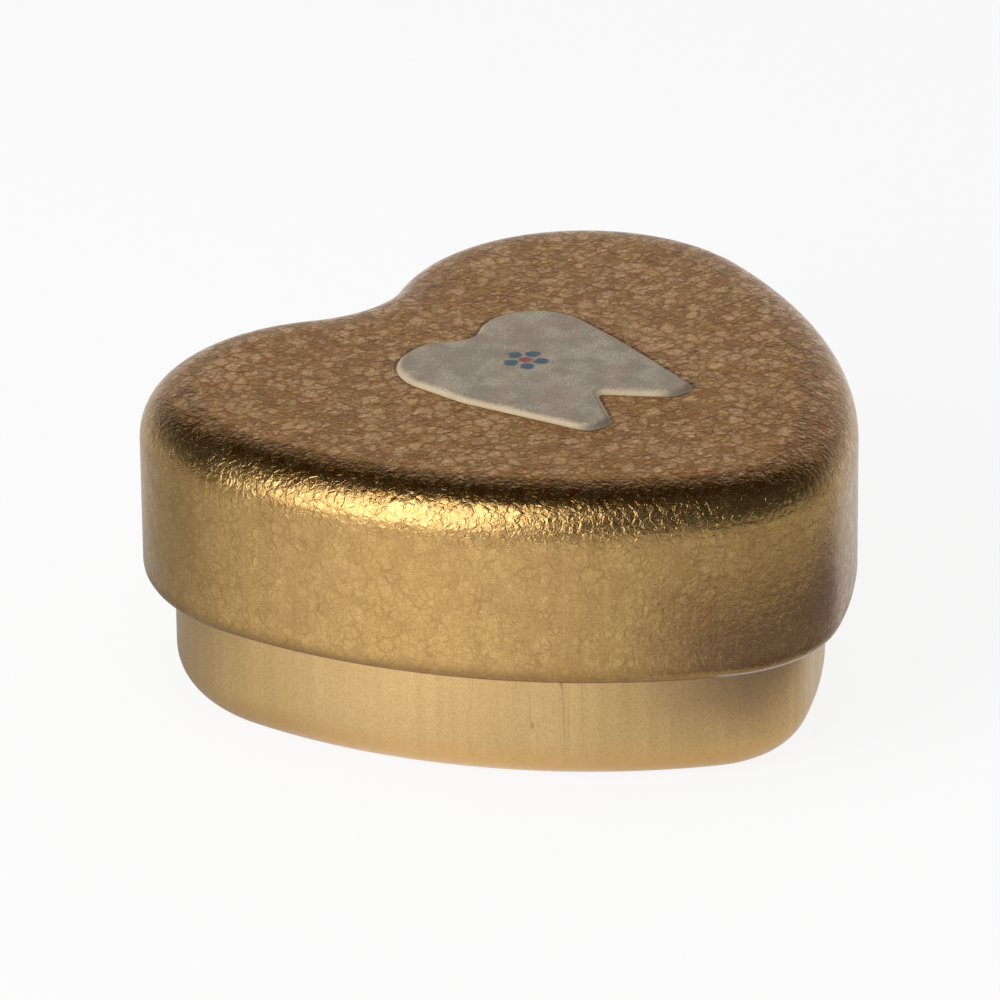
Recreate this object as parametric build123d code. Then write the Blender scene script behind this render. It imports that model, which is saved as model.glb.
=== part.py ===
from build123d import *
import os
from math import acos, cos, degrees, radians, sin, sqrt

# A small heart-shaped keepsake tin for milk teeth, pressed from tinplate in two pieces: a drawn base
# with a rolled rim, and a deep slip lid with a curled lower edge and a tooth raised in its panel.
# Sizes are in millimetres. The tin stands on z = 0, closed, with the tip of the heart towards -Y
# and its cleft towards +Y. The origin lies under the middle of the outline.

# The heart, on the outside of the lid: two lobes, two long flanks, a tip and a cleft, all tangent arcs
lobe_radius = 12.25
lobe_spacing = 19.5
flank_radius = 37.5
tip_radius = 8.55
tip_drop = 20.05
cleft_radius = 6.8

# The sheet, how far its edges curl in, and how many flats make a bend in sight and out of sight
sheet = 0.25
curl_turn = 225
bend_flat_count = 5
hidden_flat_count = 3

# Directions in a section through the wall, in degrees, where 0 points to the inside of the tin
upward_angle = 90
outward_angle = 180
downward_angle = 270

# The base: a drawn cup that stands on a ring round its raised floor
base_height = 18.5
base_corner_radius = 2.7
rim_curl = 1.3
standing_ring = 1.1
floor_rise = 0.4
floor_slope = 0.5

# The lid: a deep cap that slips over the base and rests on its rim
lid_depth = 11.7
lid_corner_radius = 3.1
lid_curl = 1.6
slip_gap = 0.28
seat_gap = 0.3

# The tooth raised in the lid's panel, and how far its crown reaches past the lobes' middles
tooth_rise = 0.28
tooth_edge = 0.15
tooth_length = 16.0
crown_reach = 0.7
cusp_radius = 3.75
cusp_spacing = 6.2
side_radius = 3.9
side_spacing = 5.2
side_drop = 6.9
dip_radius = 2.6
dip_depth = 1.15
dip_rounding = 1.5
root_radius = 1.0
root_spacing = 6.7
arch_radius = 0.35
arch_height = 3.55
arch_spread = 4.1
foot_rounding = 0.8

# Places that follow from the sizes above: the rim lies seat_gap inside the bend of the lid's corner
lobe_line = (tip_drop + tip_radius - lobe_radius) / 2
base_inset = lid_curl + slip_gap
rim_inset = base_inset + rim_curl / 2
rim_play = lid_corner_radius - sheet - rim_curl / 2 - seat_gap
rim_offset = max(lid_corner_radius - rim_inset, 0)
corner_line = base_height - rim_curl / 2 - sqrt(rim_play**2 - rim_offset**2)
lid_top = corner_line + lid_corner_radius
lid_bottom = lid_top - lid_depth


def arc_about(centre, radius, start, end):
    """The short arc about centre, from the direction of the point start to that of the point end."""
    first = (start - centre).normalized()
    last = (end - centre).normalized()
    middle = (first + last).normalized()
    return ThreePointArc(*(centre + way * radius for way in (first, middle, last)))


def heart_centres():
    """The centres of the heart's arcs: right lobe, left lobe, tip, cleft, and the two flanks."""
    lobe = Vector(lobe_spacing / 2, lobe_line)
    tip = Vector(0, lobe_line - tip_drop)
    reach = lobe_radius + cleft_radius
    cleft = Vector(0, lobe_line + sqrt(reach**2 - (lobe_spacing / 2) ** 2))
    # The flank holds the lobe and the tip inside it, so its centre is found from three known sides.
    to_lobe = flank_radius - lobe_radius
    to_tip = flank_radius - tip_radius
    apart = (lobe - tip).length
    angle = acos((to_tip**2 + apart**2 - to_lobe**2) / (2 * to_tip * apart))
    flank = tip + (lobe - tip).normalized().rotate(Axis.Z, degrees(angle)) * to_tip
    return lobe, Vector(-lobe.X, lobe.Y), tip, cleft, flank, Vector(-flank.X, flank.Y)


def heart_outline(inset):
    """The heart at z = 0, drawn in by inset from the outside of the lid, anticlockwise from its tip."""
    lobe, lobe_left, tip, cleft, flank, flank_left = heart_centres()
    beyond = [2 * tip - flank_left, 2 * tip - flank, 2 * lobe - flank, 2 * lobe_left - flank_left]
    return Wire(
        [
            arc_about(tip, tip_radius - inset, beyond[0], beyond[1]),
            arc_about(flank, flank_radius - inset, tip, lobe),
            arc_about(lobe, lobe_radius - inset, beyond[2], cleft),
            arc_about(cleft, cleft_radius + inset, lobe, lobe_left),
            arc_about(lobe_left, lobe_radius - inset, cleft, beyond[3]),
            arc_about(flank_left, flank_radius - inset, lobe_left, tip),
        ]
    )


def heart_plate(inset, bottom):
    """A flat heart of sheet whose underside is at the height bottom."""
    return Pos(0, 0, bottom) * extrude(Face(heart_outline(inset)), sheet)


def bend(inset, height, radius, start, end, flats):
    """Points of a bend about (inset, height), from the direction start to the direction end."""
    angles = [radians(start + (end - start) * step / flats) for step in range(flats + 1)]
    return [(inset + radius * cos(angle), height + radius * sin(angle)) for angle in angles]


def around_the_heart(section):
    """Sweeps a section of (inset, height) points round the heart."""
    path = heart_outline(0)
    along = path % 0
    outward = along.cross(Vector(0, 0, 1))
    upright = Plane(origin=path @ 0, x_dir=outward * -1, z_dir=along)
    return sweep(upright * make_face(Polyline(*section, close=True)), path)


def base():
    """The base: its curled rim, wall, drawn corner, standing ring and raised floor."""
    curl = (rim_inset, base_height - rim_curl / 2)
    corner = (base_inset + base_corner_radius, base_corner_radius)
    ring_end = base_inset + base_corner_radius + standing_ring
    floor_start = ring_end + floor_slope
    outside = bend(*corner, base_corner_radius, downward_angle, outward_angle, bend_flat_count)
    outside += bend(*curl, rim_curl / 2, outward_angle, outward_angle - curl_turn, bend_flat_count)
    inside = bend(*curl, rim_curl / 2 - sheet, outward_angle - curl_turn, outward_angle, hidden_flat_count)
    inside += bend(*corner, base_corner_radius - sheet, outward_angle, downward_angle, hidden_flat_count)
    floor_edge = [
        (ring_end, sheet),
        (floor_start, floor_rise + sheet),
        (floor_start, floor_rise),
        (ring_end, 0),
    ]
    return around_the_heart(outside + inside + floor_edge) + heart_plate(floor_start, floor_rise)


def lid_shell():
    """The lid without its tooth: panel, drawn corner, skirt and the curl at its lower edge."""
    corner = (lid_corner_radius, corner_line)
    curl = (lid_curl / 2, lid_bottom + lid_curl / 2)
    outside = bend(*corner, lid_corner_radius, upward_angle, outward_angle, bend_flat_count)
    outside += bend(*curl, lid_curl / 2, outward_angle, outward_angle + curl_turn, bend_flat_count)
    inside = bend(*curl, lid_curl / 2 - sheet, outward_angle + curl_turn, outward_angle, hidden_flat_count)
    inside += bend(*corner, lid_corner_radius - sheet, outward_angle, upward_angle, hidden_flat_count)
    return around_the_heart(outside + inside) + heart_plate(lid_corner_radius, lid_top - sheet)


def tooth_outline():
    """A plain tooth at z = 0, crown up: two cusps with a dip between them, two roots with an arch."""
    top = tooth_length / 2
    crown = []
    roots = []
    for side in (-1, 1):
        crown += (Pos(side * cusp_spacing / 2, top - cusp_radius) * Circle(cusp_radius)).edges()
        crown += (Pos(side * side_spacing / 2, top - side_drop) * Circle(side_radius)).edges()
        roots += (Pos(side * root_spacing / 2, root_radius - top) * Circle(root_radius)).edges()
    dip = Pos(0, top - dip_depth + dip_radius) * Circle(dip_radius)
    arch_top = (Pos(0, arch_height - top - arch_radius) * Circle(arch_radius)).edges()
    arch_foot = (Pos(0, -top - arch_spread) * Circle(arch_spread)).edges()
    body = make_hull(crown + roots) - dip - make_hull(arch_top + arch_foot)
    for level, rounding in ((-1, dip_rounding), (0, foot_rounding)):
        corners = body.vertices().group_by(Axis.Y)[level]
        body = fillet(corners.sort_by(lambda corner: abs(corner.X))[:2], rounding)
    return body


def lid():
    """The lid with its tooth pressed up from below, so that the sheet keeps its thickness."""
    place = Pos(0, lobe_line + crown_reach - tooth_length / 2, lid_top)
    tooth = tooth_outline()
    raised = extrude(tooth, tooth_rise)
    raised = chamfer(raised.faces().sort_by(Axis.Z)[-1].edges(), tooth_edge)
    hollow = extrude(offset(tooth, -sheet), tooth_rise)
    return lid_shell() + place * raised - place * Pos(0, 0, -sheet) * hollow


os.makedirs("parts", exist_ok=True)
for name, piece in {"base": base(), "lid": lid()}.items():
    export_step(piece, f"parts/{name}.step")
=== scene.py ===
from math import acos, atan2, ceil, cos, pi, radians, sin, tan

import bmesh
import bpy
from mathutils import Matrix, Vector


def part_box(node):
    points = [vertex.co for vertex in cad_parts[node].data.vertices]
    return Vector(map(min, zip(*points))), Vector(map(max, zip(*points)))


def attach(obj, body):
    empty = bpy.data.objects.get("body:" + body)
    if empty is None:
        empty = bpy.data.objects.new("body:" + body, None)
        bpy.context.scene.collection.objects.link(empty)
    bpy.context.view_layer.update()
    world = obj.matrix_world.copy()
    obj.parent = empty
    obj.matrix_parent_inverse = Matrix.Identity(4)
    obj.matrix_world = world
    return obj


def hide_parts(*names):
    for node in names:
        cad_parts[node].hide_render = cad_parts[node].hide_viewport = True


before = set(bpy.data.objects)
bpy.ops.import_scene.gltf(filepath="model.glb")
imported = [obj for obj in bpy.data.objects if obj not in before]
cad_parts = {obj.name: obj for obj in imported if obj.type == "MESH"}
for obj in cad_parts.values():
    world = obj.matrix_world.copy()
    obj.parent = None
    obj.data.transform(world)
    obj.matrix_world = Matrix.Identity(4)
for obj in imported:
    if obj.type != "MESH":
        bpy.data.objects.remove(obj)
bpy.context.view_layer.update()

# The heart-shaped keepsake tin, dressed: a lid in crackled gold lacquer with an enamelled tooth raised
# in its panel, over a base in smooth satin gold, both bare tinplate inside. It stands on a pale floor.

MM = 0.001
X_AXIS, Z_AXIS = Vector((1, 0, 0)), Vector((0, 0, 1))
QUARTER = pi / 2
WHITE = (1, 1, 1, 1)

# The heart on the outside of the lid, as in the source: lobes, flanks, tip and cleft
LOBE_RADIUS = 12.25 * MM
LOBE_SPACING = 19.5 * MM
FLANK_RADIUS = 37.5 * MM
TIP_RADIUS = 8.55 * MM
TIP_DROP = 20.05 * MM
CLEFT_RADIUS = 6.8 * MM

# The pressed sheet and its bends
SHEET = 0.25 * MM
CURL_TURN = radians(225)
LID_CORNER = 2.95 * MM
PANEL_ROLL = 12.0 * MM
PANEL_ROLL_TURN = radians(8)
LID_CURL = 1.6 * MM
SLIP_GAP = 0.28 * MM
BASE_CORNER = 2.7 * MM
RIM_CURL = 1.3 * MM
STANDING_RING = 1.1 * MM
FLOOR_SLOPE = 0.5 * MM
FLOOR_RISE = 0.4 * MM

# The raised tooth
TOOTH_RISE = 0.28 * MM
TOOTH_FLANK = 0.42 * MM
TOOTH_LENGTH = 16.25 * MM
CROWN_REACH = 0.95 * MM
FLANK_STEPS = 8
MOAT = 0.26 * MM
MOAT_DEPTH = 0.06 * MM

# The corners of the tooth, in mm: distance from its axis, distance from its crown or foot, and rounding.
# The crown's dip, cusp and side are alike on both sides. The roots differ a little: the outer and inner
# corner of each, and the arch between them.
CROWN_CORNERS = ((0, 1.6, 2.0), (2.35, 0, 2.3), (7.29, 0, 3.75), (6.44, 7.63, 3.9))
RIGHT_ROOT = ((4.9, 0.45, 1.0), (3.1, 0.5, 0.9))
ARCH = (0.1, 3.98, 0.35)
LEFT_ROOT = ((2.1, 0.35, 0.8), (3.9, 0.35, 1.0))

# The small flower printed on the tooth, in mm: how far its middle lies below the crown, its soft edge, its
# petals and its middle. Its ink covers the enamel by this share
PRINT_DROP = 6.2
PRINT_EDGE = 0.1
PETALS = 5
PETAL_REACH = 0.95
PETAL_RADIUS = 0.44
MIDDLE_RADIUS = 0.4
INK = 0.9

# The finish of a face by number: the lacquer is 0, then the bare inside and the enamel of the tooth
INSIDE, ENAMEL = 1, 2

# The crackle of the lid's lacquer, in mm: its broad and small cells, the waves in their borders, how steeply
# the cells lean, how deep the cracks are, and the relief of the grain and of the sheet itself
BROAD_CELL, SMALL_CELL = 0.9, 0.44
WAVES_PER_CELL, WARP = 1.7, 0.3
BROAD_LEAN, SMALL_LEAN = 0.05, 0.16
BROAD_DEPTH, SMALL_DEPTH = 0.006, 0.007
GRAIN_RELIEF, SHEET_RELIEF = 0.004, 0.03

# Depths below the panel, in mm, where each of these starts to fade and where it ends: the panel's brown,
# which is painted shade of the top, its matt part, and the full relief. Right of the tip the painted brown
# goes lower, from one x in mm to another
TOP_SHADE_DEPTHS = (0.1, 1.0)
MATT_DEPTHS = (0.004, 0.035)
RELIEF_DEPTHS = (2.6, 3.6)
TOP_SHADE_LOWER = 1.1
COARSE_FROM, COARSE_TO = 0.0, 6.5

# Heights above the lid's lower edge, in mm: the part of the skirt darkened by painted shade, and the rim
# that is rubbed to the bare tin round the tip, in front of this y
EDGE_SHADE_HEIGHTS = (1.5, 0.1)
RUBBED_RIM = (0.4, 0.26)
RUBBED_FROM = -18.3

# The base's lacquer, in mm: the heights between which it turns to the painted shade in warmer gold on its
# foot, and the depth of its scratches
FOOT_SHADE_FROM, FOOT_SHADE_TO = 3.2, 0.8
SCRATCH_DEPTH = 0.006

# The light tent, which the gold mirrors. Each wall: first and last azimuth, then the elevations between
# which it turns from its lower tone to its upper one, and those two tones. All its borders are soft
TENT_RADIUS = 0.45
TENT_STEPS = 64
TENT_WALLS = (
    (-61, 50, 4, 40, 0.54, 0.06),
    (50, 104, -2, 38, 0.5, 0.055),
    (104, 168, 29, 40, 0.72, 0.05),
    (168, 254, -2, 28, 0.52, 0.06),
)
TENT_TOP_TONE = 0.07
WINDOW_LEVEL = 3.7
WINDOW_SIDES = (-106, -61)
WINDOW_SILL, WINDOW_TOP = 18, 70
BELOW_WINDOW = 1.05
SOFT = 4

# The pool of light on the floor: its level, also close to the tin, and the lobes of light and shade in it,
# each with its azimuth, how narrow it is, and what it adds to both levels
POOL_LEVEL = 0.49
POOL_NEAR_LEVEL = 0.715
POOL_LOBES = ((-78, 3, 0.66, 0.26), (-130, 6, -0.22, -0.44), (128, 2, 0.5, 0.0), (-170, 4, 0.12, 0.0))

# The shade in the pool of light, right of the tip: where it comes and goes by azimuth and by distance in mm,
# how much it takes away, and its tint
SHADE_SIDES = ((-37, -14), (72, 44))
SHADE_REACH = ((24, 30), (45, 41))
SHADE_DEPTH = 0.6
SHADE_TINT = (0.98, 0.9, 1.3, 1)

# The distances in mm between which the near level of the pool turns to its far one. Then the pool's radius,
# and how far it lies above the floor
POOL_NEAR_REACH = (19.0, 30.0)
POOL_RADIUS = 0.44
POOL_LIFT = 0.02 * MM

# The floor: its radius, the share of it that glows where it is seen, and the tone of its paper. The pool is
# drawn as round as the floor
FLOOR_RADIUS = 3.0
FLOOR_GLOW = 0.88
PAPER = (0.9, 0.9, 0.9, 1)
ROUND_STEPS = 96

# The camera: where it stands, its lens, how far its aim lies off the middle, and how it is turned
CAMERA_AZIMUTH, CAMERA_ELEVATION = -42.6105, 25.7877
CAMERA_DISTANCE = 521.217 * MM
CAMERA_LENS = 308.03
CAMERA_AIM = Vector((0.003804, 0.014677, -1))
CAMERA_ROLL = radians(-0.56)

# How finely the shells are divided
RING_STEP = 0.55 * MM
BEND_STEP = 0.3 * MM
MERGE = 0.001 * MM

# A face counts as flat when its normal stands at least this upright
FLAT = 0.99999

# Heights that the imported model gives, how far the base lies inside the lid, and along Y the centres of the
# lobes, the tip of the heart and the middle of the tooth
lid_low, lid_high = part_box("lid")
LID_BOTTOM = lid_low.z
LID_TOP = lid_high.z - TOOTH_RISE
RIM_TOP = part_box("base")[1].z
BASE_INSET = LID_CURL + SLIP_GAP
LOBE_LINE = (TIP_DROP + TIP_RADIUS - LOBE_RADIUS) / 2
TIP_Y = LOBE_LINE - TIP_DROP - TIP_RADIUS
TOOTH_MIDDLE = LOBE_LINE + CROWN_REACH - TOOTH_LENGTH / 2


# Shaping the sheet

def everything(bm):
    return bm.verts[:] + bm.edges[:] + bm.faces[:]


def run_to(bm, vertex, place):
    """Draws a straight run from vertex to place, and returns its far end."""
    end = bmesh.ops.extrude_vert_indiv(bm, verts=[vertex])["verts"][0]
    end.co = place
    return end


def turn(bm, geometry, centre, axis, angle, steps):
    """Turns geometry about an axis and leaves the surface that it sweeps. Returns the far end."""
    swept = bmesh.ops.spin(bm, geom=geometry, cent=centre, axis=axis, angle=angle, steps=steps)
    return swept["geom_last"]


def bend(bm, vertex, centre, angle):
    """Bends a section on from vertex about centre, in the plane through the heart's tip and cleft."""
    steps = max(2, ceil(abs(angle) * (vertex.co - centre).length / BEND_STEP))
    return turn(bm, [vertex], centre, X_AXIS, angle, steps)[0]


def heart_turns():
    """The arcs of the heart's right half from its tip to its cleft: centre, radius and angle turned."""
    lobe = Vector((LOBE_SPACING / 2, LOBE_LINE, 0))
    tip = Vector((0, LOBE_LINE - TIP_DROP, 0))
    reach = LOBE_RADIUS + CLEFT_RADIUS
    cleft = Vector((0, LOBE_LINE + (reach**2 - lobe.x**2) ** 0.5, 0))
    to_lobe = FLANK_RADIUS - LOBE_RADIUS
    to_tip = FLANK_RADIUS - TIP_RADIUS
    apart = (lobe - tip).length
    opening = acos((to_tip**2 + apart**2 - to_lobe**2) / (2 * to_tip * apart))
    towards = (lobe - tip).normalized()
    towards.rotate(Matrix.Rotation(opening, 3, "Z"))
    flank = tip + towards * to_tip
    at_start = atan2(tip.y - flank.y, tip.x - flank.x)
    at_lobe = atan2(lobe.y - flank.y, lobe.x - flank.x)
    at_cleft = atan2(cleft.y - lobe.y, cleft.x - lobe.x)
    return [
        (tip, TIP_RADIUS, at_start + QUARTER),
        (flank, FLANK_RADIUS, at_lobe - at_start),
        (lobe, LOBE_RADIUS, at_cleft - at_lobe),
        (cleft, CLEFT_RADIUS, QUARTER - at_cleft),
    ]


def at_tip(inset, height):
    """A point of the section through the tip, inset from the outside of the lid."""
    return Vector((0, TIP_Y + inset, height))


def sweep_heart(bm):
    """Takes the section drawn at the tip round the heart, both ways, and closes it."""
    section = bm.verts[:] + bm.edges[:]
    for centre, radius, angle in heart_turns():
        section = turn(bm, section, centre, Z_AXIS, angle, ceil(abs(angle) * radius / RING_STEP))
    bmesh.ops.mirror(bm, geom=everything(bm), matrix=Matrix.Identity(4), merge_dist=MERGE, axis="X")
    bmesh.ops.remove_doubles(bm, verts=bm.verts[:], dist=MERGE)


def open_loops(bm, height):
    """The open edges of the surface at a height."""
    edges = [edge for edge in bm.edges if len(edge.link_faces) < 2]
    return [edge for edge in edges if all(abs(vertex.co.z - height) < MERGE for vertex in edge.verts)]


def rounded_loop(bm, corners, place, grow):
    """Draws a closed outline round corners of (x, y, radius), each with its own rounding, and grows it."""
    points = [place + Vector((x, y, 0)) for x, y, radius in corners]
    first = last = None
    for number, corner in enumerate(points):
        radius = corners[number][2]
        back = (points[number - 1] - corner).normalized()
        ahead = (points[(number + 1) % len(points)] - corner).normalized()
        half = back.angle(ahead) / 2
        start = corner + back * radius / tan(half)
        centre = corner + (back + ahead).normalized() * radius / sin(half)
        way = 1 if back.cross(ahead).z < 0 else -1
        start = centre + (start - centre) * (1 - way * grow / radius)
        last = run_to(bm, last, start) if last else bmesh.ops.create_vert(bm, co=start)["vert"][0]
        first = first or last
        steps = max(3, ceil((pi - 2 * half) * radius / BEND_STEP))
        last = turn(bm, [last], centre, Z_AXIS, way * (pi - 2 * half), steps)[0]
    run_to(bm, last, first.co)


def wall_sheet(bm):
    """Gives an open skin its wall: the skin stays outside, and the bare side of the sheet lies behind it."""
    bmesh.ops.remove_doubles(bm, verts=bm.verts[:], dist=MERGE)
    bmesh.ops.recalc_face_normals(bm, faces=bm.faces[:])
    skin = set(bm.faces)
    bmesh.ops.solidify(bm, geom=bm.faces[:], thickness=SHEET)
    for face in bm.faces:
        if face not in skin:
            face.material_index = INSIDE


def finish_piece(name, bm, finishes):
    """Makes the piece an object. Flat faces shade flat, so that the bends round off smoothly into them."""
    for face in bm.faces:
        face.smooth = abs(face.normal.z) < FLAT
    mesh = bpy.data.meshes.new(name)
    bm.to_mesh(mesh)
    bm.free()
    for finish in finishes:
        mesh.materials.append(finish)
    piece = bpy.data.objects.new(name, mesh)
    bpy.context.scene.collection.objects.link(piece)
    return piece


# The two pressings

def tooth_corners():
    """The tooth's outline, crown up: a dip between two cusps, and an arch between two roots."""
    top = TOOTH_LENGTH / 2
    crown = [(x * MM, top - drop * MM, radius * MM) for x, drop, radius in CROWN_CORNERS]
    feet = [(x * MM, rise * MM - top, radius * MM) for x, rise, radius in (*RIGHT_ROOT, ARCH)]
    feet += [(-x * MM, rise * MM - top, radius * MM) for x, rise, radius in LEFT_ROOT]
    return crown + feet + [(-x, y, radius) for x, y, radius in crown[:0:-1]]


def make_lid(finishes):
    """The lid: panel with its raised tooth, rolled and drawn corner, skirt, and a curl at its lower edge."""
    bm = bmesh.new()
    flat_inset = LID_CORNER + (PANEL_ROLL - LID_CORNER) * sin(PANEL_ROLL_TURN)
    corner_line = LID_TOP - PANEL_ROLL + (PANEL_ROLL - LID_CORNER) * cos(PANEL_ROLL_TURN)
    pen = bmesh.ops.create_vert(bm, co=at_tip(flat_inset, LID_TOP))["vert"][0]
    pen = bend(bm, pen, at_tip(flat_inset, LID_TOP - PANEL_ROLL), PANEL_ROLL_TURN)
    pen = bend(bm, pen, at_tip(LID_CORNER, corner_line), QUARTER - PANEL_ROLL_TURN)
    pen = run_to(bm, pen, at_tip(0, LID_BOTTOM + LID_CURL / 2))
    bend(bm, pen, at_tip(LID_CURL / 2, LID_BOTTOM + LID_CURL / 2), CURL_TURN)
    sweep_heart(bm)

    rim = open_loops(bm, LID_TOP)
    place = Vector((0, TOOTH_MIDDLE, LID_TOP))
    rounded_loop(bm, tooth_corners(), place, grow=MOAT)
    bmesh.ops.remove_doubles(bm, verts=[v for v in bm.verts if not v.link_faces], dist=MERGE)
    outline = [e for e in bm.edges if not e.link_faces]
    tooth = bmesh.ops.contextual_create(bm, geom=outline)["faces"][0]
    bmesh.ops.triangle_fill(bm, edges=rim + outline, use_beauty=True)
    tooth.normal_update()
    if tooth.normal.z < 0:
        tooth.normal_flip()
    bmesh.ops.inset_region(bm, faces=[tooth], thickness=MOAT, depth=-MOAT_DEPTH, use_even_offset=True)
    tooth_faces = [tooth]
    for step in range(FLANK_STEPS):
        share = (cos(pi * step / FLANK_STEPS) - cos(pi * (step + 1) / FLANK_STEPS)) / 2
        climb = share * (TOOTH_RISE + MOAT_DEPTH)
        ring = bmesh.ops.inset_region(
            bm, faces=[tooth], thickness=TOOTH_FLANK / FLANK_STEPS, depth=climb, use_even_offset=True
        )
        tooth_faces += ring["faces"]
    for face in tooth_faces:
        face.material_index = ENAMEL

    wall_sheet(bm)
    return finish_piece("lid_shell", bm, finishes)


def make_base(finishes):
    """The base: curled rim, wall, drawn corner, standing ring and raised floor."""
    bm = bmesh.new()
    rim = at_tip(BASE_INSET + RIM_CURL / 2, RIM_TOP - RIM_CURL / 2)
    start = Vector((0, -RIM_CURL / 2, 0))
    start.rotate(Matrix.Rotation(-CURL_TURN, 3, "X"))
    pen = bmesh.ops.create_vert(bm, co=rim + start)["vert"][0]
    pen = bend(bm, pen, rim, CURL_TURN)
    pen = run_to(bm, pen, at_tip(BASE_INSET, BASE_CORNER))
    pen = bend(bm, pen, at_tip(BASE_INSET + BASE_CORNER, BASE_CORNER), QUARTER)
    ring_end = BASE_INSET + BASE_CORNER + STANDING_RING
    pen = run_to(bm, pen, at_tip(ring_end, 0))
    run_to(bm, pen, at_tip(ring_end + FLOOR_SLOPE, FLOOR_RISE))
    sweep_heart(bm)
    bmesh.ops.triangle_fill(bm, edges=open_loops(bm, FLOOR_RISE), use_beauty=True)
    wall_sheet(bm)
    return finish_piece("base_shell", bm, finishes)


# Finishes

class Finish:
    """A material with short ways to add nodes. Patterns are measured in millimetres on the object."""

    def __init__(self, name):
        self.material = bpy.data.materials.new(name)
        self.material.use_nodes = True
        self.tree = self.material.node_tree
        self.shader = self.tree.nodes["Principled BSDF"]
        place = self.node("TexCoord")["Object"]
        self.place = self.node("Mapping", {"Vector": place, "Scale": (1 / MM,) * 3})["Vector"]
        self.x, self.y, self.z = self.node("SeparateXYZ", {"Vector": self.place}).values()

    def join(self, value, socket):
        if isinstance(value, bpy.types.NodeSocket):
            self.tree.links.new(value, socket)
        else:
            socket.default_value = value

    def node(self, kind, inputs=None, **settings):
        made = self.tree.nodes.new("ShaderNode" + kind)
        for name, value in settings.items():
            setattr(made, name, value)
        for name, value in (inputs or {}).items():
            self.join(value, made.inputs[name])
        return {socket.name: socket for socket in made.outputs if socket.enabled}

    def shade(self, **inputs):
        """Sets the shader's own sockets."""
        for name, value in inputs.items():
            self.join(value, self.shader.inputs[name.replace("_", " ").title().replace("Ior", "IOR")])

    def math(self, operation, *values):
        return self.node("Math", dict(enumerate(values)), operation=operation)["Value"]

    def vector(self, operation, *values, out="Vector"):
        return self.node("VectorMath", dict(enumerate(values)), operation=operation)[out]

    def times(self, first, second):
        return self.math("MULTIPLY", first, second)

    def mix(self, share, first, second):
        """Mixes two colours."""
        made = self.tree.nodes.new("ShaderNodeMix")
        made.data_type = "RGBA"
        for number, value in ((0, share), (6, first), (7, second)):
            self.join(value, made.inputs[number])
        return made.outputs[2]

    def over(self, ground, *coats):
        """Lays coats over a ground colour, each given as its share and its colour."""
        for share, tint in coats:
            ground = self.mix(share, ground, tint)
        return ground

    def ease(self, value, low, high, first=0.0, last=1.0):
        """A soft step from first at low to last at high."""
        inputs = {"Value": value, "From Min": low, "From Max": high, "To Min": first, "To Max": last}
        return self.node("MapRange", inputs, interpolation_type="SMOOTHSTEP")["Result"]

    def within(self, value, low, high):
        """1 from low to high and 0 outside them, with soft ends."""
        rise = self.ease(value, low - SOFT, low + SOFT)
        return self.times(rise, self.ease(value, high + SOFT, high - SOFT))

    def noise(self, scale, detail=2.0, vector=None, out="Fac"):
        """Noise that repeats about scale times in a millimetre."""
        return self.node("TexNoise", {"Vector": vector or self.place, "Scale": scale, "Detail": detail})[out]

    def bump(self, height):
        """Relief from a height in millimetres."""
        return self.node("Bump", {"Height": height, "Strength": 1.0, "Distance": MM})["Normal"]

    def azimuth(self):
        """The azimuth of each place round the tin, in degrees, as facing takes it."""
        return self.math("DEGREES", self.math("ARCTAN2", self.x, self.times(self.y, -1.0)))

    def glow(self, level, tint=WHITE):
        """Makes the material a plain light in place of its shader."""
        light = self.node("Emission", {"Color": tint, "Strength": level})["Emission"]
        self.tree.links.new(light, self.tree.nodes["Material Output"].inputs[0])


def channel(shown):
    """One channel of a colour, from its value on a screen, 0 to 255, to the shader's."""
    return shown / 255 / 12.92 if shown <= 10 else ((shown / 255 + 0.055) / 1.055) ** 2.4


def colour(red, green, blue):
    """A colour given as it shows on a screen, for a shader."""
    return (channel(red), channel(green), channel(blue), 1)


# The panel of the lid: its ground, painted brown as shade of the top, the ground's rusty patches, its flakes
# and its cracks
PANEL_SHADE_BROWN, PANEL_SHADE_RUST = colour(160, 112, 26), colour(162, 98, 0)
PANEL_SMALL_FLAKE, PANEL_BROAD_FLAKE = colour(224, 173, 111), colour(226, 179, 126)
PANEL_CRACK = colour(94, 57, 2)

# Its skirt: the two golds of its ground, its flakes and cracks, and what is added right of the tip
SKIRT_GOLD, SKIRT_PALE_GOLD = colour(190, 152, 96), colour(199, 162, 103)
SKIRT_BROAD_FLAKE, SKIRT_SMALL_FLAKE = colour(226, 188, 124), colour(228, 192, 128)
SKIRT_CRACK = colour(130, 94, 48)
COARSE_BROWN, COARSE_FLAKE = colour(140, 98, 60), colour(234, 204, 170)

# The whole lid: its grain, the painted shade along its lower edge, the painted shadow line round the tooth,
# and the rubbed rim
GRAIN_BROWN, EDGE_SHADE_BROWN = colour(104, 72, 36), colour(112, 78, 42)
TOOTH_SHADOW_BROWN, RUBBED_TIN = colour(52, 38, 18), colour(196, 200, 216)

# The base, with painted shade in a warmer gold on its foot, and the bare tinplate
SATIN_GOLD, SATIN_PALE_GOLD, FOOT_SHADE_GOLD = colour(212, 177, 119), colour(219, 184, 127), colour(212, 165, 99)
STREAK_BROWN, SCRATCH_BROWN = colour(150, 112, 62), colour(120, 86, 46)
TIN_DARK, TIN_PALE = colour(176, 178, 182), colour(206, 207, 209)

# The tooth: its enamel, the painted light in cream on its side and the painted shade in grey at the ends
# of its roots, and the inks of the flower
ENAMEL_GREY, ENAMEL_PALE = colour(155, 142, 122), colour(190, 175, 153)
ENAMEL_TINT, ENAMEL_GRAIN = colour(160, 132, 112), colour(112, 100, 86)
SIDE_PAINTED_LIGHT, ROOT_END_PAINTED_SHADE = colour(212, 192, 156), colour(120, 112, 94)
PETAL_BLUE, MIDDLE_RED = colour(44, 84, 102), colour(146, 62, 70)


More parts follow.
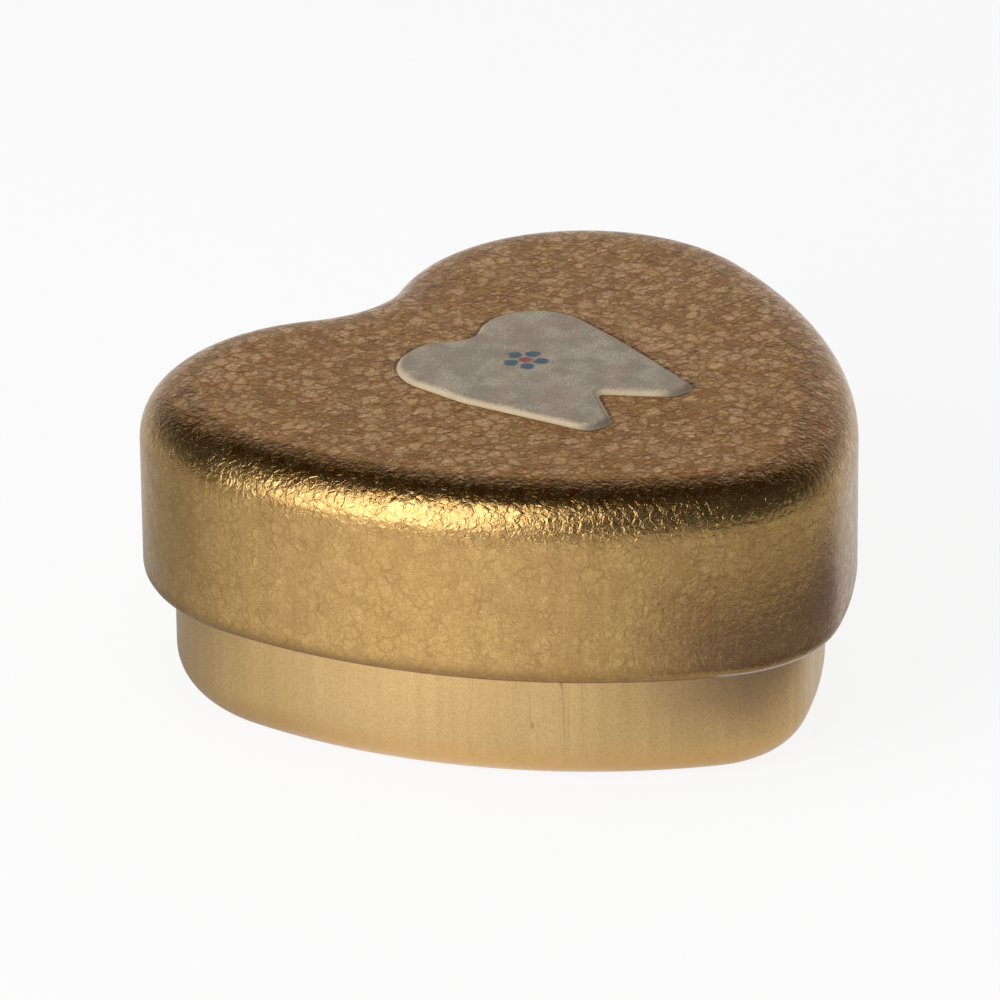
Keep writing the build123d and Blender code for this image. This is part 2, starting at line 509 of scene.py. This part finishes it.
def crackle(finish, size):
    """Cells about size mm across, with wavy borders: how far the nearest border is in mm, each cell's own
    random number, and the height of its own tilt, which fades out towards the border."""
    wave = finish.vector("SUBTRACT", finish.noise(WAVES_PER_CELL / size, 3.0, out="Color"), (0.5, 0.5, 0.5))
    wavy = finish.vector("MULTIPLY_ADD", wave, (2 * WARP * size,) * 3, finish.place)
    cells = finish.node("TexVoronoi", {"Vector": wavy, "Scale": 1 / size})
    edges = finish.node("TexVoronoi", {"Vector": wavy, "Scale": 1 / size}, feature="DISTANCE_TO_EDGE")
    border = finish.times(edges["Distance"], size)
    lean = finish.vector("SUBTRACT", cells["Color"], (0.5, 0.5, 0.5))
    offset = finish.vector("SUBTRACT", wavy, cells["Position"])
    tilt = finish.vector("DOT_PRODUCT", lean, offset, out="Value")
    tilt = finish.times(tilt, finish.ease(border, 0.0, size / 4))
    return border, finish.node("SeparateColor", {"Color": cells["Color"]})["Red"], tilt


def crackled_gold():
    """The lid's lacquer: gold crazed by fine cracks, with pale flakes on the panel over a browner ground,
    which is painted shade of the top. Right of the tip this painted brown runs down over the corner, and the
    skirt's flakes are a little paler. Painted shade darkens the skirt's lower edge, and a painted shadow
    lines the tooth's foot."""
    finish = Finish("crackled_gold_lacquer")
    top_z, bottom_z = LID_TOP / MM, LID_BOTTOM / MM
    broad_border, broad_random, broad_tilt = crackle(finish, BROAD_CELL)
    small_border, small_random, small_tilt = crackle(finish, SMALL_CELL)
    coarse = finish.ease(finish.x, COARSE_FROM, COARSE_TO)
    # Painted shade: the top is browner, and right of the tip this brown reaches lower over the corner
    top_shade_end = finish.math("MULTIPLY_ADD", coarse, -TOP_SHADE_LOWER, top_z - TOP_SHADE_DEPTHS[1])
    top_shade = finish.ease(finish.z, top_shade_end, top_z - TOP_SHADE_DEPTHS[0])
    matt = finish.ease(finish.z, top_z - MATT_DEPTHS[1], top_z - MATT_DEPTHS[0])
    grain = finish.noise(9.0, 3.0)
    cloud = finish.noise(0.42, 3.0)
    patches = finish.noise(0.9, 3.0)

    broad_flake = finish.times(finish.ease(broad_border, 0.0, 0.24), finish.ease(broad_random, 0.15, 0.75))
    small_flake = finish.times(finish.ease(small_border, 0.0, 0.12), finish.ease(small_random, 0.3, 0.85))
    coarse_flake = finish.times(broad_flake, finish.times(coarse, 0.2))
    broad_crack = finish.times(finish.ease(broad_border, 0.07, 0.0), finish.ease(patches, 0.42, 0.6))
    small_crack = finish.times(finish.ease(small_border, 0.05, 0.0), finish.ease(cloud, 0.3, 0.6))
    cracks = finish.math("MAXIMUM", broad_crack, small_crack)

    # The top: crackle flakes and cracks over a ground of painted shade
    top = finish.over(
        finish.mix(finish.ease(patches, 0.38, 0.62), PANEL_SHADE_BROWN, PANEL_SHADE_RUST),
        (finish.times(small_flake, 0.62), PANEL_SMALL_FLAKE),
        (finish.times(broad_flake, 0.68), PANEL_BROAD_FLAKE),
        (finish.times(cracks, 0.6), PANEL_CRACK),
    )
    skirt = finish.over(
        finish.mix(finish.ease(cloud, 0.35, 0.62), SKIRT_GOLD, SKIRT_PALE_GOLD),
        (finish.times(broad_flake, 0.25), SKIRT_BROAD_FLAKE),
        (finish.times(small_flake, 0.2), SKIRT_SMALL_FLAKE),
        (finish.times(cracks, finish.ease(patches, 0.4, 0.62, 0.14, 0.34)), SKIRT_CRACK),
        (finish.times(coarse, 0.15), COARSE_BROWN),
        (coarse_flake, COARSE_FLAKE),
    )

    # Painted shadow: a dark line in the moat round the tooth's foot
    from_tooth = finish.vector("SUBTRACT", finish.place, (0, TOOTH_MIDDLE / MM, top_z))
    far = finish.vector("LENGTH", from_tooth, out="Value")
    near_tooth = finish.ease(far, TOOTH_LENGTH / MM * 0.65, TOOTH_LENGTH / MM * 0.6)
    tooth_foot_shadow = finish.times(near_tooth, finish.ease(finish.z, top_z - 0.003, top_z - 0.03))
    # Painted shade: the skirt darkens towards its lower edge
    edge_shade = finish.ease(finish.z, bottom_z + EDGE_SHADE_HEIGHTS[0], bottom_z + EDGE_SHADE_HEIGHTS[1], 0.0, 0.62)
    round_tip = finish.ease(finish.y, RUBBED_FROM, RUBBED_FROM - 0.4)
    low_down = finish.ease(finish.z, bottom_z + RUBBED_RIM[0], bottom_z + RUBBED_RIM[1])
    body = finish.over(
        finish.mix(top_shade, skirt, top),
        (finish.ease(grain, 0.38, 0.6, finish.ease(top_shade, 0.0, 1.0, 0.2, 0.45), 0.0), GRAIN_BROWN),
        (edge_shade, EDGE_SHADE_BROWN),
        (finish.times(tooth_foot_shadow, 0.42), TOOTH_SHADOW_BROWN),
        (finish.times(round_tip, low_down), RUBBED_TIN),
    )

    height = finish.times(broad_tilt, BROAD_LEAN)
    height = finish.math("MULTIPLY_ADD", small_tilt, SMALL_LEAN, height)
    height = finish.math("ADD", finish.ease(broad_border, 0.09, 0.0, 0.0, -BROAD_DEPTH), height)
    height = finish.math("ADD", finish.ease(small_border, 0.06, 0.0, 0.0, -SMALL_DEPTH), height)
    height = finish.math("MULTIPLY_ADD", grain, GRAIN_RELIEF, height)
    relief = finish.ease(finish.z, top_z - RELIEF_DEPTHS[1], top_z - RELIEF_DEPTHS[0], 0.5, 1.0)
    relief = finish.times(relief, finish.ease(matt, 0.0, 1.0, 1.0, 0.9))
    height = finish.times(height, relief)
    height = finish.math("MULTIPLY_ADD", finish.noise(0.35), SHEET_RELIEF, height)
    finish.shade(
        base_color=body,
        metallic=finish.math("MULTIPLY_ADD", matt, -0.45, 1.0),
        roughness=finish.ease(broad_flake, 0.0, 1.0, 0.27, 0.22),
        normal=finish.bump(height),
        specular_ior_level=0.15,
    )
    return finish.material


def satin_gold():
    """The base's lacquer: smooth satin gold with a fine grain and a few light scratches."""
    finish = Finish("satin_gold_lacquer")
    cloud = finish.noise(0.16, 3.0)
    grain = finish.noise(7.0)
    upright = finish.vector("MULTIPLY", finish.place, (1.0, 1.0, 0.02))
    streaks = finish.noise(1.4, 3.0, vector=upright)
    beside_scratch = finish.math("SUBTRACT", finish.noise(0.9, 1.0, vector=upright), 0.62)
    scratches = finish.ease(finish.math("ABSOLUTE", beside_scratch), 0.004, 0.0)
    scratches = finish.times(scratches, finish.ease(finish.noise(0.3), 0.5, 0.62))
    body = finish.over(
        finish.mix(finish.ease(cloud, 0.3, 0.7), SATIN_GOLD, SATIN_PALE_GOLD),
        (finish.ease(streaks, 0.35, 0.65, 0.1, 0.0), STREAK_BROWN),
        (finish.ease(grain, 0.34, 0.62, 0.22, 0.0), STREAK_BROWN),
        (finish.times(scratches, 0.6), SCRATCH_BROWN),
        # Painted shade: a warmer, darker gold on the foot's bend, where it turns down
        (finish.ease(finish.z, FOOT_SHADE_FROM, FOOT_SHADE_TO, 0.0, 0.7), FOOT_SHADE_GOLD),
    )
    height = finish.times(grain, GRAIN_RELIEF)
    height = finish.math("MULTIPLY_ADD", scratches, -SCRATCH_DEPTH, height)
    height = finish.math("MULTIPLY_ADD", finish.noise(0.3), 0.04, height)
    finish.shade(
        base_color=body,
        metallic=1.0,
        roughness=finish.ease(streaks, 0.3, 0.7, 0.36, 0.3),
        normal=finish.bump(height),
        coat_weight=0.12,
        coat_roughness=0.25,
    )
    return finish.material


def bare_tinplate():
    """The inside of both pressings: bare tinplate with faint drawing marks."""
    finish = Finish("bare_tinplate")
    marks = finish.noise(2.0, 3.0, vector=finish.vector("MULTIPLY", finish.place, (1.0, 1.0, 0.12)))
    finish.shade(
        base_color=finish.mix(marks, TIN_DARK, TIN_PALE),
        metallic=1.0,
        roughness=finish.ease(marks, 0.3, 0.7, 0.24, 0.36),
        normal=finish.bump(finish.times(marks, 0.01)),
    )
    return finish.material


def disc(finish, centre, radius, x, y):
    """A round spot on the tooth, with a softly printed edge."""
    across = finish.math("SUBTRACT", x, centre[0])
    along = finish.math("SUBTRACT", y, centre[1])
    squares = finish.math("ADD", finish.math("POWER", across, 2.0), finish.math("POWER", along, 2.0))
    return finish.ease(finish.math("SQRT", squares), radius - PRINT_EDGE, radius + PRINT_EDGE, 1.0, 0.0)


def tooth_enamel():
    """The tooth's enamel: warm grey-white, slightly mottled, with a small flower printed on its face. Its
    side has painted light in cream, and painted shade in grey at the ends of the roots."""
    finish = Finish("tooth_enamel")
    mottle = finish.noise(0.8, 4.0)
    grain = finish.noise(8.5, 3.0)
    face_z = (LID_TOP + TOOTH_RISE) / MM
    foot = (TOOTH_MIDDLE - TOOTH_LENGTH / 2) / MM
    # Painted light and shade on the tooth's side: cream where the lamp falls on it, grey at the ends of the
    # roots
    side = finish.mix(finish.ease(finish.y, foot + 1.7, foot + 0.6), SIDE_PAINTED_LIGHT, ROOT_END_PAINTED_SHADE)
    body = finish.over(
        finish.mix(finish.ease(mottle, 0.34, 0.66), ENAMEL_GREY, ENAMEL_PALE),
        (finish.ease(finish.noise(0.5), 0.45, 0.65, 0.0, 0.4), ENAMEL_TINT),
        (finish.ease(grain, 0.38, 0.62, 0.6, 0.0), ENAMEL_GRAIN),
        (finish.ease(finish.z, face_z - 0.01, face_z - 0.22, 0.0, 0.7), side),
    )

    wobble = finish.math("MULTIPLY_ADD", finish.noise(2.2, 1.0), 0.3, -0.15)
    x, y = finish.math("ADD", finish.x, wobble), finish.math("SUBTRACT", finish.y, wobble)
    middle = LOBE_LINE / MM + CROWN_REACH / MM - PRINT_DROP
    petals = None
    for number in range(PETALS):
        angle = QUARTER + 2 * pi * number / PETALS
        centre = (PETAL_REACH * cos(angle), middle + PETAL_REACH * sin(angle))
        petal = disc(finish, centre, PETAL_RADIUS, x, y)
        petals = finish.math("MAXIMUM", petals, petal) if petals else petal
    flower_middle = disc(finish, (0, middle), MIDDLE_RADIUS, x, y)
    body = finish.over(
        body,
        (finish.times(petals, INK), PETAL_BLUE),
        (finish.times(flower_middle, INK), MIDDLE_RED),
    )
    finish.shade(
        base_color=body,
        roughness=finish.ease(mottle, 0.3, 0.7, 0.42, 0.55),
        normal=finish.bump(finish.math("MULTIPLY_ADD", grain, 0.008, finish.times(mottle, 0.03))),
        specular_ior_level=0.4,
    )
    return finish.material


# The studio

def facing(azimuth, elevation):
    """The direction from the tin at an azimuth, 0 towards -Y and 90 towards +X, and an elevation."""
    a, e = radians(azimuth), radians(elevation)
    return Vector((sin(a) * cos(e), -cos(a) * cos(e), sin(e)))


def seen_directly(nodes, link, share):
    """share for rays of the camera and of reflections and glass, and 0 for the light itself."""
    path = nodes.new("ShaderNodeLightPath")
    total = path.outputs["Is Camera Ray"]
    for kind in ("Is Glossy Ray", "Is Transmission Ray"):
        add = nodes.new("ShaderNodeMath")
        add.operation = "ADD"
        add.use_clamp = True
        link(total, add.inputs[0])
        link(path.outputs[kind], add.inputs[1])
        total = add.outputs[0]
    scaled = nodes.new("ShaderNodeMath")
    scaled.operation = "MULTIPLY"
    link(total, scaled.inputs[0])
    scaled.inputs[1].default_value = share
    return scaled.outputs[0]


def floor_paper():
    """White paper: where it is seen it mostly glows, and the rest of it takes the tin's shadow."""
    material = bpy.data.materials.new("floor_paper")
    material.use_nodes = True
    nodes, link = material.node_tree.nodes, material.node_tree.links.new
    nodes.clear()
    output = nodes.new("ShaderNodeOutputMaterial")
    glow = nodes.new("ShaderNodeEmission")
    glow.inputs["Color"].default_value = WHITE
    matt = nodes.new("ShaderNodeBsdfDiffuse")
    matt.inputs["Color"].default_value = PAPER
    blend = nodes.new("ShaderNodeMixShader")
    link(seen_directly(nodes, link, FLOOR_GLOW), blend.inputs[0])
    link(matt.outputs[0], blend.inputs[1])
    link(glow.outputs[0], blend.inputs[2])
    link(blend.outputs[0], output.inputs[0])
    return material


def make_floor():
    bm = bmesh.new()
    bmesh.ops.create_circle(bm, cap_ends=True, radius=FLOOR_RADIUS, segments=ROUND_STEPS)
    floor = finish_piece("studio_floor", bm, [floor_paper()])


def only_in_reflections(piece):
    piece.visible_camera = piece.visible_diffuse = piece.visible_shadow = piece.visible_transmission = False


def make_pool_of_light():
    """A round sheet just over the floor, which only the reflections see: how bright the floor is round the
    tin, with a soft shade right of its tip."""
    bm = bmesh.new()
    bmesh.ops.create_circle(bm, cap_ends=True, radius=POOL_RADIUS, segments=ROUND_STEPS)
    bmesh.ops.translate(bm, verts=bm.verts[:], vec=(0, 0, POOL_LIFT))
    finish = Finish("pool_of_light")
    outwards = finish.vector("MULTIPLY", finish.place, (1.0, 1.0, 0.0))
    away = finish.vector("NORMALIZE", outwards)
    level, near_level = POOL_LEVEL, POOL_NEAR_LEVEL
    for azimuth, power, gain, near_gain in POOL_LOBES:
        facing_it = finish.vector("DOT_PRODUCT", away, tuple(facing(azimuth, 0)), out="Value")
        lobe = finish.math("POWER", finish.math("MAXIMUM", facing_it, 0.0), power)
        level = finish.math("MULTIPLY_ADD", lobe, gain, level)
        near_level = finish.math("MULTIPLY_ADD", lobe, near_gain, near_level)
    distance = finish.vector("LENGTH", outwards, out="Value")
    near = finish.ease(distance, *POOL_NEAR_REACH, 1.0, 0.0)
    level = finish.math("MULTIPLY_ADD", near, finish.math("SUBTRACT", near_level, level), level)
    azimuth = finish.azimuth()
    sides = finish.times(*(finish.ease(azimuth, *side) for side in SHADE_SIDES))
    reach = finish.times(*(finish.ease(distance, *end) for end in SHADE_REACH))
    shade = finish.times(sides, reach)
    level = finish.times(level, finish.math("MULTIPLY_ADD", shade, -SHADE_DEPTH, 1.0))
    finish.glow(level, finish.mix(shade, WHITE, SHADE_TINT))
    only_in_reflections(finish_piece("pool_of_light", bm, [finish.material]))


def make_light_tent():
    """A tent of cloth over the tin, which only its reflections see: dim walls and one bright window."""
    bm = bmesh.new()
    bmesh.ops.create_uvsphere(bm, u_segments=TENT_STEPS, v_segments=TENT_STEPS // 2, radius=TENT_RADIUS)
    bmesh.ops.bisect_plane(bm, geom=everything(bm), plane_co=(0, 0, 0), plane_no=Z_AXIS, clear_inner=True)
    finish = Finish("tent_cloth")
    azimuth = finish.azimuth()
    left, right = WINDOW_SIDES
    full_turn = finish.times(finish.math("LESS_THAN", azimuth, left), 360.0)
    from_left = finish.math("ADD", azimuth, full_turn)
    direction = finish.vector("NORMALIZE", finish.place)
    height = finish.node("SeparateXYZ", {"Vector": direction})["Z"]
    elevation = finish.math("DEGREES", finish.math("ARCSINE", height))
    level = TENT_TOP_TONE
    for first, last, low, high, lower_tone, upper_tone in TENT_WALLS:
        tone = finish.ease(elevation, low, high, lower_tone, upper_tone)
        wall = finish.times(finish.within(from_left, first, last), finish.math("SUBTRACT", tone, level))
        level = finish.math("ADD", wall, level)
    above = finish.ease(elevation, WINDOW_TOP + SOFT, WINDOW_TOP - SOFT, 0.0, WINDOW_LEVEL)
    sill = (WINDOW_SILL - 2 * SOFT, WINDOW_SILL + 2 * SOFT)
    pane = finish.math("MINIMUM", above, finish.ease(elevation, *sill, BELOW_WINDOW, WINDOW_LEVEL))
    level = finish.math("MAXIMUM", level, finish.times(finish.within(azimuth, left, right), pane))
    finish.glow(level)
    only_in_reflections(finish_piece("light_tent", bm, [finish.material]))


def soft_lamp(name, azimuth, elevation, distance, size, level):
    """A soft lamp for the matt surfaces and the shadow. Its own face doesn't show in the gold."""
    lamp = bpy.data.lights.new(name, "AREA")
    lamp.shape = "DISK"
    lamp.size = size
    lamp.energy = level * pi * pi * size**2 / 4
    holder = bpy.data.objects.new(name, lamp)
    holder.location = facing(azimuth, elevation) * distance
    holder.rotation_euler = facing(azimuth, elevation).to_track_quat("Z", "Y").to_euler()
    holder.visible_glossy = False
    bpy.context.scene.collection.objects.link(holder)


def light_world(level):
    """White wherever it is seen, and a plain even light on everything."""
    world = bpy.data.worlds.new("studio")
    bpy.context.scene.world = world
    world.use_nodes = True
    nodes, link = world.node_tree.nodes, world.node_tree.links.new
    background = nodes["Background"]
    background.inputs["Color"].default_value = WHITE
    seen = seen_directly(nodes, link, 1 - level)
    add = nodes.new("ShaderNodeMath")
    link(seen, add.inputs[0])
    add.inputs[1].default_value = level
    link(add.outputs[0], background.inputs["Strength"])
    world.cycles.sampling_method = "NONE"


def set_camera():
    """The photograph's view: a long lens, a little above the tin and to the left of its tip."""
    camera = bpy.data.cameras.new("camera")
    camera.sensor_width = 36
    camera.lens = CAMERA_LENS
    holder = bpy.data.objects.new("camera", camera)
    bpy.context.scene.collection.objects.link(holder)
    bpy.context.scene.camera = holder
    away = facing(CAMERA_AZIMUTH, CAMERA_ELEVATION)
    holder.location = Vector((0, LOBE_LINE, 0)) + away * CAMERA_DISTANCE
    look = (-away).to_track_quat("-Z", "Y").to_matrix()
    aim = (look @ CAMERA_AIM).to_track_quat("-Z", "Y").to_matrix()
    holder.rotation_euler = (aim @ Matrix.Rotation(CAMERA_ROLL, 3, "Z")).to_euler()


# Putting it together

inside = bare_tinplate()
lid = make_lid([crackled_gold(), inside, tooth_enamel()])
base = make_base([satin_gold(), inside])
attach(lid, "lid")
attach(base, "base")
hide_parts("lid")
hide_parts("base")

make_floor()
light_world(level=0.5)
soft_lamp("key_lamp", azimuth=-86, elevation=28, distance=0.34, size=0.24, level=5.6)
make_light_tent()
make_pool_of_light()
set_camera()

bpy.context.scene.view_settings.view_transform = "Standard"
